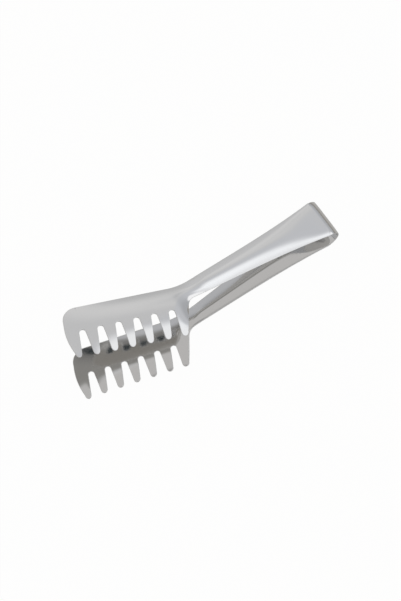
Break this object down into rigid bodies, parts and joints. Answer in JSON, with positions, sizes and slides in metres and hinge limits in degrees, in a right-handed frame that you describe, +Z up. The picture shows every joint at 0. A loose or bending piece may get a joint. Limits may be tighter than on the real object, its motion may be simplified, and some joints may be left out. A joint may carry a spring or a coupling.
{
  "type": "spaghetti tongs",
  "caption": "One-piece sprung steel tongs with tapering ridged handles and wide sideways combs for gripping and serving spaghetti.",
  "frame": {"origin": "centre of the footprint, on the surface that the tongs lie on", "axes": "+X from the bow towards the combs, +Y towards the tooth tips, +Z up"},
  "size_m": [0.2106, 0.0552, 0.092],
  "materials": {
    "stainless": "satin pressed stainless sheet, brighter where it is bent"
  },
  "bodies": {
    "bow": {"spring_bow": "stainless"},
    "upper_arm": {"upper_handle": "stainless", "upper_comb": "stainless"},
    "lower_arm": {"lower_handle": "stainless", "lower_comb": "stainless"}
  },
  "joints": [
    {"name": "upper_squeeze", "type": "hinge", "parent": "bow", "child": "upper_arm", "pos_m": [-0.103, 0.00037, 0.01551], "axis": [0, 1, 0], "range_deg": [-2, 11.8], "stiffness_Nm_per_rad": 8.5},
    {"name": "lower_squeeze", "type": "hinge", "parent": "bow", "child": "lower_arm", "pos_m": [-0.10098, 0.00037, 0.00489], "axis": [0, -1, 0], "range_deg": [-2, 11.8], "stiffness_Nm_per_rad": 8.5}
  ],
  "couplings": [
    {"joint": "lower_squeeze", "follows": "upper_squeeze", "ratio": 1}
  ]
}
